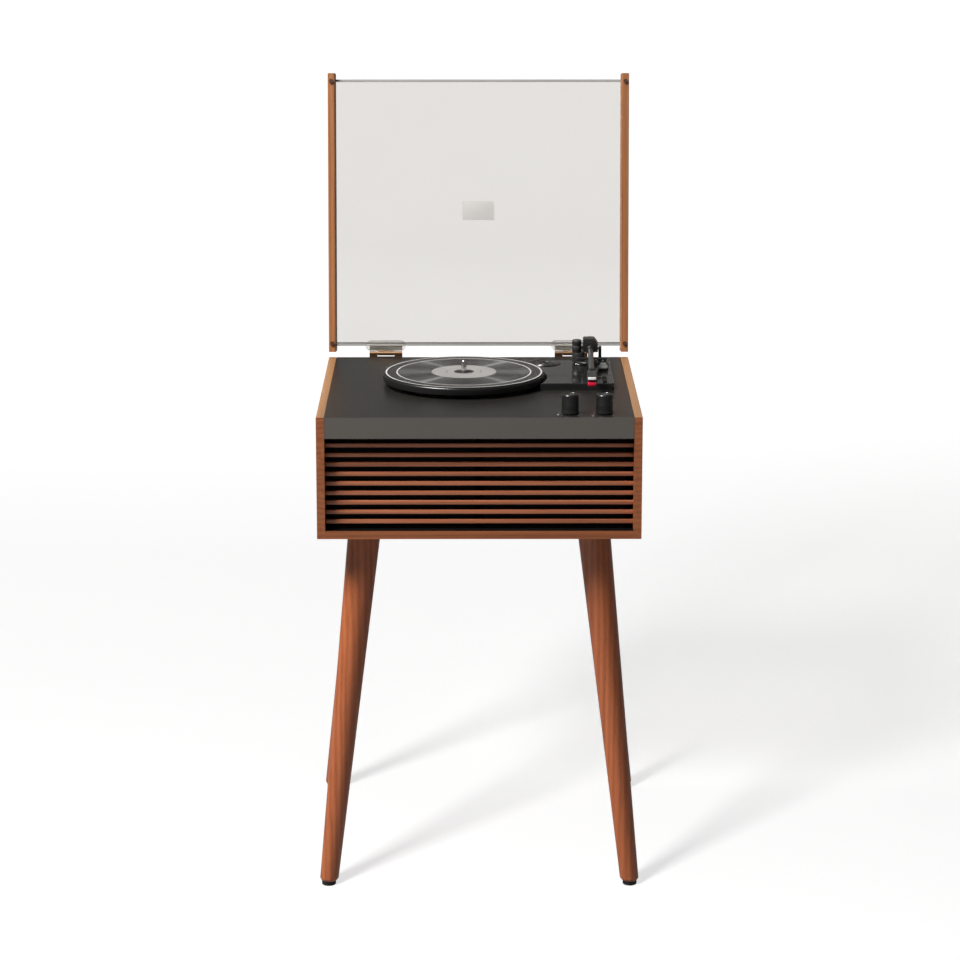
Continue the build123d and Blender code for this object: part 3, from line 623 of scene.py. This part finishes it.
# ---------------------------------------------------------------- arm base and yoke
bm = bmesh.new()
add_lathe(bm, [(0, -22), (5, -22), (5, 11.4), (20.6, 11.4), (21, 11.7), (21, 12.9), (20.4, 13.6), (0, 13.6)], (AX, Y(AD), ZT),
          seg=96, closed=False)
add_lathe(bm, [(0, 11.4), (8.4, 11.4), (8.9, 11.9), (8.9, 23.6), (8.4, 24.5), (7.6, 24.7), (0, 24.7)], (137.2, Y(AD), ZT),
          seg=64, closed=False)
prism(bm, [(Y(AD) - 5.5, ZT + 12), (Y(AD) + 5.5, ZT + 12), (Y(AD) + 5.5, ZT + 29), (Y(AD) + 3.2, ZT + 33), (Y(AD) - 3.2, ZT + 33),
           (Y(AD) - 5.5, ZT + 29)], "X", 164.6, 168.7, bevel=0.5)
prism(bm, [(Y(AD) - 5, ZT + 24), (Y(AD) + 5, ZT + 24), (Y(AD) + 4, ZT + 33), (Y(AD) - 4, ZT + 33)], "X", 141.5, 143.0, bevel=0.3)
ob = bm_obj("arm_yoke_moulded", bm, M["satin"], "arm_yoke")
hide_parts("arm_yoke")

ob = lathe("tonearm_base_stepped", [(5.05, -24), (10, -24), (10, 9.5), (22.9, 9.5), (23.5, 9.9), (23.5, 10.4), (22.7, 11.1),
           (5.05, 11.1)], (AX, Y(AD), ZT), M["gloss"], "cabinet", seg=96, closed=True)
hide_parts("tonearm_base")


def knurl(a, r, h):
    if r > 5.5 and 26 < h < 40.6:
        return -0.35 * (0.5 + 0.5 * math.cos(30 * a)) ** 1.5
    return 0.0


ob = lathe("antiskate_dial_knurled", [(0, 25), (6.0, 25), (6.3, 25.4), (6.3, 26.2), (6.5, 26.4), (6.5, 33.4), (6.1, 33.8), (6.1, 34.6),
           (6.5, 35.0), (6.5, 40.4), (6.1, 41.4), (5.3, 42.0), (0, 42.0)], (134.8, Y(AD), ZT), M["matt"], "antiskate_dial",
           seg=150, mod=knurl, smooth=50)
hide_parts("antiskate_dial")

# ---------------------------------------------------------------- arm
bm = bmesh.new()
prism(bm, [(143.3, ZT + 27.2), (144.4, ZT + 26.5), (162.8, ZT + 26.5), (163.9, ZT + 27.2), (163.9, ZT + 36.5), (158.6, ZT + 44.5),
           (144.4, ZT + 44.5), (143.3, ZT + 43.0)], "Y", Y(AD - 10.4), Y(AD + 11.6), bevel=0.5)
prism(bm, [(147.0, ZT + 34.4), (160.0, ZT + 34.4), (157.6, ZT + 41.6), (148.0, ZT + 41.6)], "Y", Y(AD - 11.0), Y(AD - 10.2), bevel=0.3)
add_lathe(bm, [(0, -12.0), (5.0, -12.0), (5.4, -11.6), (5.4, -10.0), (0, -10.0)], (AX, Y(AD), AZ), axis="Y", seg=40, closed=False)
for x0, x1 in ((141.7, 143.6), (163.6, 168.5)):
    add_lathe(bm, [(0, x0), (1.5, x0), (1.5, x1), (0, x1)], (0, Y(AD), AZ), axis="X", seg=24, closed=False)
ob = bm_obj("arm_block_moulded", bm, M["satin"], "tonearm")
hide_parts("arm_block")

bm = bmesh.new()
d0, d1 = 152.0 - AD, 348.0 - AD
add_lathe(bm, [(0, d0), (4.0, d0), (4.0, d0 + 9), (3.75, d0 + 9.4), (3.75, -14.0), (4.0, -13.6), (4.0, d1 - 0.6), (3.4, d1), (0, d1)],
          (AX, Y(AD), AZ), axis="Y", seg=48, closed=False)
ob = bm_obj("arm_tube_turned", bm, M["tube"], "tonearm")
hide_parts("arm_tube")

# headshell: tapered shell, collar, finger lift and a bare pale front plate
bm = bmesh.new()
top = [(147.6, Y(102)), (159.6, Y(102)), (160.0, Y(108)), (160.0, Y(136)), (158.0, Y(146)), (157.4, Y(152)), (149.8, Y(152)),
       (149.2, Y(146)), (147.2, Y(136)), (147.2, Y(108))]
prism(bm, top, "Z", ZT + 27.0, ZT + 32.5, bevel=0.7)
add_lathe(bm, [(0, 146 - AD), (4.3, 146 - AD), (4.55, 146.5 - AD), (4.55, 151.6 - AD), (4.2, 152 - AD), (0, 152 - AD)],
          (AX, Y(AD), AZ), axis="Y", seg=40, closed=False)
prism(bm, [(159.6, Y(107.6)), (165.6, Y(107.9)), (168.0, Y(109.2)), (168.4, Y(110.6)), (166.4, Y(112.0)), (159.6, Y(112.4))], "Z",
      ZT + 30.3, ZT + 31.5, bevel=0.35)
for d in (114.0, 121.0):
    add_box(bm, 151.6, 155.6, Y(d) - 0.7, Y(d) + 0.7, ZT + 32.3, ZT + 32.6, bevel=0.1)
ob = bm_obj("headshell_moulded", bm, M["satin"], "tonearm")
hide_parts("headshell")
bm = bmesh.new()
add_box(bm, 148.3, 158.9, Y(102.0) - 0.22, Y(102.0) + 0.4, ZT + 28.2, ZT + 31.9, bevel=0.15)
ob = bm_obj("headshell_front_plate", bm, M["white"], "tonearm")
bm = bmesh.new()
prism(bm, [(Y(102.6), ZT + 20.4), (Y(104.6), ZT + 18.4), (Y(120), ZT + 18.4), (Y(122), ZT + 19.6), (Y(106), ZT + 19.6),
           (Y(106), ZT + 26.2), (Y(103.2), ZT + 24.8), (Y(102.6), ZT + 23.6)], "X", 148.2, 159.0, bevel=0.45)
add_lathe(bm, [(0, 17.5), (0.12, 17.5), (0.5, 18.2), (0.5, 19.0), (0, 19.0)], (AX, Y(104.6), ZT), seg=16, closed=False)
ob = bm_obj("stylus_holder", bm, M["red"], "tonearm")
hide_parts("stylus")
bm = bmesh.new()
add_box(bm, 148.6, 158.6, Y(106), Y(127), ZT + 19.7, ZT + 27, bevel=0.5)
for zz in (21.4, 23.2, 25.0):
    add_box(bm, 148.4, 158.8, Y(108), Y(126), ZT + zz, ZT + zz + 0.5, bevel=0.12)
ob = bm_obj("cartridge_ribbed", bm, M["satin"], "tonearm")
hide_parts("cartridge")

c0, c1 = 14.6, 36.0
ob = lathe("counterweight_turned", [(4.05, c0), (9.8, c0), (10.4, c0 + 0.6), (10.4, c0 + 6.0), (9.9, c0 + 6.4), (9.9, c0 + 7.2), (10.4, c0 + 7.6),
           (10.4, c1 - 0.8), (9.6, c1), (4.05, c1)], (AX, Y(AD), AZ), M["matt"], "counterweight", axis="Y", seg=120, closed=True,
           mod=lambda a, r, h: (-0.2 * (0.5 + 0.5 * math.cos(60 * a)) if r > 10.2 and h > c0 + 7 else 0.0))
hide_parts("counterweight")

# arm rest with a rounded cradle
bm = bmesh.new()
d = 227.0
prism(bm, [(149.0, ZT + 9.5), (154.4, ZT + 9.5), (154.4, ZT + 21.0), (159.1, ZT + 23.2), (159.1, ZT + 30.2), (158.3, ZT + 31.0),
           (157.3, ZT + 31.0), (156.4, ZT + 29.6), (156.4, ZT + 27.0), (155.1, ZT + 25.4), (146.5, ZT + 25.2), (145.7, ZT + 24.4),
           (145.7, ZT + 22.8), (149.0, ZT + 21.0)], "Y", Y(d) - 2.4, Y(d) + 2.4, bevel=0.35)
ob = bm_obj("arm_rest_moulded", bm, M["satin"], "cabinet")
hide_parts("arm_rest")

# cueing
bm = bmesh.new()
prism(bm, [(159.7, Y(253.4)), (161.2, Y(252.1)), (173.4, Y(252.1)), (175.6, Y(254.4)), (175.6, Y(275.8)), (166.4, Y(275.8)),
           (162.4, Y(270.0))], "Z", ZT + 12.2, ZT + 14.4, bevel=0.5)
add_lathe(bm, [(1.05, 166), (2.6, 166), (2.6, 174), (1.05, 174)], (0, Y(279), ZT + 13.3), axis="X", seg=28, closed=True)
add_box(bm, 166, 174, Y(275), Y(277.2), ZT + 12.2, ZT + 14.4, bevel=0.2)
ob = bm_obj("cue_lever_paddle", bm, M["grey"], "cue_lever")
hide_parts("cue_lever")
bm = bmesh.new()
add_lathe(bm, [(0, -4), (1.5, -4), (1.5, 19.5), (0, 19.5)], (172.8, Y(286), ZT), seg=24, closed=False)
add_box(bm, 134.0, 175.6, Y(283.5), Y(288.5), ZT + 19.0, ZT + 21.5, bevel=0.6)
ob = bm_obj("lift_platform_bar", bm, M["satin"], "lift_platform")
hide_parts("lift_platform")

for nm, body, d0_, d1_, z1 in (("speed_selector", "speed_selector", 195.5, 202.5, 13.6), ("autostop_switch", "autostop_switch", 179.4, 185.1, 12.6)):
    bm = bmesh.new()
    add_box(bm, 167.0, 170.2, Y(d0_ + 0.6), Y(d1_ - 0.6), ZT - 2, ZT + 10.0)
    dm = (d0_ + d1_) / 2
    add_box(bm, 165.6, 171.6, Y(d0_), Y(d1_), ZT + 9.8, ZT + 11.2, bevel=0.4)
    prism(bm, [(Y(dm) - 2.3, ZT + 11.0), (Y(dm) + 2.3, ZT + 11.0), (Y(dm) + 1.5, ZT + z1), (Y(dm) - 1.5, ZT + z1)], "X", 166.2, 171.0, bevel=0.3)
    ob = bm_obj(nm + "_cap", bm, M["satin"], body)
    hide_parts(nm)

# ---------------------------------------------------------------- lid details
c98, s98 = math.cos(math.radians(-98)), math.sin(math.radians(-98))
OPEN = Matrix.Rotation(math.radians(-98), 3, "X")
PIV = Vector((0, HY, HZ))
RY1 = YR
RY0 = RY1 - 388.5
RZ1 = ZT + 52.0


def open_bm(bm):
    bmesh.ops.rotate(bm, cent=PIV, matrix=OPEN, verts=bm.verts)


bm = bmesh.new()
ym = (RY0 + RY1) / 2 - 3.0
add_box(bm, -22.5, 22.5, ym - 13.5, ym + 13.5, RZ1 - 3.35, RZ1 - 3.02, bevel=0.1)
open_bm(bm)
ob = bm_obj("lid_frosted_patch", bm, M["frost"], "lid")

# painted shade: thin grey strips along the rear and front edges of the clear sheet stand in for the dark lines that
# refraction draws in the acrylic edges
bm = bmesh.new()
add_box(bm, -199.6, 199.6, YR - 11.3, YR - 8.5, ZT + 4.95, ZT + 5.3)
add_box(bm, -199.6, 199.6, RY0 + 8.1, RY0 + 10.9, RZ1 - 22.05, RZ1 - 21.7)
open_bm(bm)
ob = bm_obj("lid_cut_edges", bm, M["edge"], "lid", smooth=0)

# middle knuckles of the hinges, brown like the outer ones
bm = bmesh.new()
for hx in (-130.0, 130.0):
    at = Matrix.Translation((hx, YR + 2.0, ZT + 5.0)) @ Matrix.Rotation(math.pi / 2, 4, "Y")
    bmesh.ops.create_cone(bm, cap_ends=True, segments=48, radius1=3.08, radius2=3.08, depth=23.4, matrix=at)
ob = bm_obj("hinge_lid_barrels", bm, M["bronze"], "lid")

# ---------------------------------------------------------------- screws


def screw(bm, recess_shade_bm, c, axis, r, h=0.6):
    s = 1 if h > 0 else -1
    add_lathe(bm, [(0, 0), (r, 0), (r, h * 0.5), (r * 0.82, h * 0.9), (0, h)], c, axis=axis, seg=28, closed=False)
    t = h + 0.03 * s
    w = 0.16 * r
    l = 0.62 * r
    # painted shade: the cross slot is a flat near-black box across the head, standing in for the shade inside the
    # recess
    for a, b in ((w, l), (l, w)):
        lo, hi = sorted((h - 0.35 * s, t))
        if axis == "Y":
            add_box(recess_shade_bm, c[0] - a, c[0] + a, c[1] + lo, c[1] + hi, c[2] - b, c[2] + b)
        else:
            add_box(recess_shade_bm, c[0] - a, c[0] + a, c[1] - b, c[1] + b, c[2] + lo, c[2] + hi)


bm, recess_shade_bm = bmesh.new(), bmesh.new()
for hx in (-130.0, 130.0):
    for a in (-16, 16):
        screw(bm, recess_shade_bm, (hx + a, YR + 1.2, ZT - 12), "Y", 3.0, 1.2)
for jx in (-60, 60):
    for jz in (-22, 22):
        screw(bm, recess_shade_bm, (95 + jx, YR + 2.0, 555 + jz), "Y", 2.6, 1.3)
for lx in (-150, 150):
    for ly in (Y(50), YR - 50):
        for a in (-25, 25):
            for b in (-25, 25):
                screw(bm, recess_shade_bm, (lx + a, ly + b, 473.0), "Z", 3.2, -1.3)
for a in (90, 210, 330):
    screw(bm, recess_shade_bm, (PX + 13.4 * math.cos(math.radians(a)), Y(PD) + 13.4 * math.sin(math.radians(a)), ZT - 6), "Z", 2.4, -1.4)
for s in (-22.5, 22.5):
    screw(bm, recess_shade_bm, (PX - 55.2 + s, Y(PD - 73.6), ZT - 5), "Z", 2.6, -1.6)
ob = bm_obj("cabinet_screw_heads", bm, M["steel"], "cabinet")
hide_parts("cabinet_screws")
# painted shade: near-black cross slots on the screw heads stand in for the shaded recesses
ob = bm_obj("screw_recess_shade", recess_shade_bm, M["rubber"], "cabinet")

# rear sockets
bm = bmesh.new()
for jx in (-40, -18):
    add_lathe(bm, [(0, -12), (4.2, -12), (4.2, 2.0), (6.2, 2.0), (6.2, 3.2), (5.8, 3.6), (4.2, 3.6), (4.2, 9.6), (3.9, 10), (2.6, 10),
                   (2.6, 4), (0, 4)], (95 + jx, YR, 555), axis="Y", seg=48, closed=False)
add_lathe(bm, [(0, -12), (3.6, -12), (3.6, 2.0), (5.2, 2.0), (5.2, 4.1), (4.8, 4.5), (1.8, 4.5), (1.8, -9), (0, -9)], (103, YR, 555),
          axis="Y", seg=6, closed=False)
ob = bm_obj("rear_sockets_turned", bm, M["steel"], "cabinet", smooth=30)
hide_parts("rear_sockets")
bm = bmesh.new()
add_lathe(bm, [(0, -12), (5.5, -12), (5.5, 3.2), (3.6, 3.2), (3.6, -8), (1.0, -8), (1.0, 2.4), (0, 2.6)], (133, YR, 555), axis="Y", seg=48,
          closed=False)
ob = bm_obj("power_inlet", bm, M["matt"], "cabinet", smooth=30)
for jx, mt in ((-40, "white"), (-18, "red")):
    ob = lathe("phono_ring_%s" % mt, [(2.6, 9.2), (3.7, 9.2), (3.7, 10.25), (2.6, 10.25)], (95 + jx, YR, 555), M[mt], "cabinet", axis="Y",
               seg=48, closed=True)
    ob = lathe("phono_core_%s" % mt, [(0, 3.9), (2.6, 3.9), (2.6, 8.6), (1.0, 8.6), (0.9, 5), (0, 5)], (95 + jx, YR, 555), M["matt"],
               "cabinet", axis="Y", seg=32)

# ---------------------------------------------------------------- stage
FLOOR_GLOW, WALL_GLOW = 0.67, 0.84
fl = bpy.data.materials.new("floor")
fl.use_nodes = True
fnt = fl.node_tree
fb = fnt.nodes["Principled BSDF"]
fb.inputs["Base Color"].default_value = (0.55, 0.55, 0.55, 1)
fb.inputs["Roughness"].default_value = 0.85
fb.inputs["Specular IOR Level"].default_value = 0.1
# the floor looks white to the camera and through the lid, and throws back little light
ftc = fnt.nodes.new("ShaderNodeTexCoord")
fsep = fnt.nodes.new("ShaderNodeSeparateXYZ")
fnt.links.new(ftc.outputs["Object"], fsep.inputs[0])
fmr = fnt.nodes.new("ShaderNodeMapRange")
for k_, v_ in ((1, 1.5), (2, 4.0), (3, FLOOR_GLOW), (4, WALL_GLOW)):
    fmr.inputs[k_].default_value = v_
fnt.links.new(fsep.outputs[1], fmr.inputs[0])
flp = fnt.nodes.new("ShaderNodeLightPath")
fmx = fnt.nodes.new("ShaderNodeMath")
fmx.operation = "MAXIMUM"
fnt.links.new(flp.outputs["Is Camera Ray"], fmx.inputs[0])
fnt.links.new(flp.outputs["Is Transmission Ray"], fmx.inputs[1])
fng = fnt.nodes.new("ShaderNodeMath")      # not after a reflection
fng.operation = "LESS_THAN"
fng.inputs[1].default_value = 0.5
fnt.links.new(flp.outputs["Glossy Depth"], fng.inputs[0])
fmg = fnt.nodes.new("ShaderNodeMath")
fmg.operation = "MULTIPLY"
fnt.links.new(fmx.outputs[0], fmg.inputs[0])
fnt.links.new(fng.outputs[0], fmg.inputs[1])
fmu = fnt.nodes.new("ShaderNodeMath")
fmu.operation = "MULTIPLY"
fnt.links.new(fmr.outputs[0], fmu.inputs[0])
fnt.links.new(fmg.outputs[0], fmu.inputs[1])
fb.inputs["Emission Color"].default_value = (1, 1, 1, 1)
fnt.links.new(fmu.outputs[0], fb.inputs["Emission Strength"])
verts, faces = [], []
N = 24
prof = [(-9.0, 0.0), (5.0, 0.0)]
for i in range(1, N + 1):
    a = math.pi / 2 * i / N
    prof.append((5.0 + 2.5 * math.sin(a), 2.5 - 2.5 * math.cos(a)))
prof.append((7.5, 9.0))
for (yy, zz) in prof:
    verts += [(-14, yy, zz), (14, yy, zz)]
for i in range(len(prof) - 1):
    faces.append((2 * i, 2 * i + 1, 2 * i + 3, 2 * i + 2))
me = bpy.data.meshes.new("floor")
me.from_pydata(verts, [], faces)
for p_ in me.polygons:
    p_.use_smooth = True
me.materials.append(fl)
floor = bpy.data.objects.new("floor", me)
bpy.context.collection.objects.link(floor)

# ---------------------------------------------------------------- light
world = bpy.data.worlds.new("world")
bpy.context.scene.world = world
world.use_nodes = True
bg = world.node_tree.nodes["Background"]
bg.inputs["Color"].default_value = (1.0, 0.995, 0.985, 1)
bg.inputs["Strength"].default_value = 0.14
bpy.context.scene.view_settings.view_transform = "Standard"


def area(name, loc, target, size, power, colour=(1, 1, 1)):
    li = bpy.data.lights.new(name, "AREA")
    li.shape = "RECTANGLE"
    li.size, li.size_y = size
    li.energy = power
    li.color = colour
    ob = bpy.data.objects.new(name, li)
    bpy.context.collection.objects.link(ob)
    ob.location = loc
    dv = Vector(target) - Vector(loc)
    ob.rotation_euler = dv.to_track_quat("-Z", "Y").to_euler()
    return ob


key = area("key", (-1.95, -1.13, 3.90), (0, 0, 0.6), (1.5, 1.5), 400, (1.0, 0.985, 0.96))
low = area("front_left", (-1.76, -2.71, 2.65), (0, 0, 0.4), (0.7, 0.7), 130, (1.0, 1.0, 1.0))
area("backdrop", (0.0, 2.2, 3.4), (0, 6.4, 1.0), (6.0, 2.0), 60)
# the key leaves the floor alone, so its shadow doesn't show there
unlit = bpy.data.collections.new("floor_unlit")
unlit.objects.link(floor)
key.light_linking.receiver_collection = unlit
unlit.collection_objects[0].light_linking.link_state = "EXCLUDE"
# and the low lamp draws only the soft leg shadows on the floor
shadows = bpy.data.collections.new("floor_shadows")
shadows.objects.link(floor)
low.light_linking.receiver_collection = shadows

# ---------------------------------------------------------------- close
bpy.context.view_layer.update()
